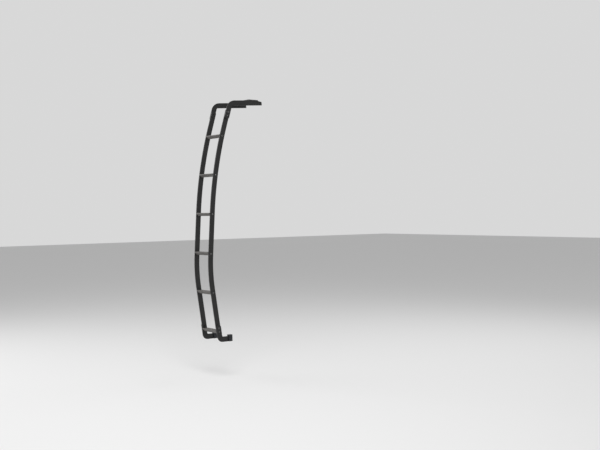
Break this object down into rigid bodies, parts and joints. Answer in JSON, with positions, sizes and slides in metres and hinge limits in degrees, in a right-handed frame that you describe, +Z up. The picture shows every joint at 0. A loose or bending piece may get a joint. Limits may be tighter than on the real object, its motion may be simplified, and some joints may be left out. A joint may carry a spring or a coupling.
{
  "type": "van rack ladder",
  "caption": "Curved side ladder that hangs from a van's roof rack, with flat black rails, hollow serrated treads, elbow arms and rubber-faced feet.",
  "frame": {"origin": "middle of the rack bracket's top face, which is bolted up against the rack", "axes": "+X along the treads, +Y in towards the van, +Z up"},
  "size_m": [0.252, 0.5332, 1.9637],
  "materials": {
    "black_coat": "satin",
    "tread_metal": "matt",
    "rubber": "matt"
  },
  "bodies": {
    "root": {"rail_left": "black_coat", "rail_right": "black_coat", "top_arm_left": "black_coat", "top_arm_right": "black_coat", "foot_arm_left": "black_coat", "foot_arm_right": "black_coat", "tread_1": "tread_metal", "tread_2": "tread_metal", "tread_3": "tread_metal", "tread_4": "tread_metal", "tread_5": "tread_metal", "tread_6": "tread_metal", "rack_bracket": "black_coat", "foot_shoe_left": "black_coat", "foot_shoe_right": "black_coat", "foot_pad_left": "rubber", "foot_pad_right": "rubber"}
  },
  "joints": []
}
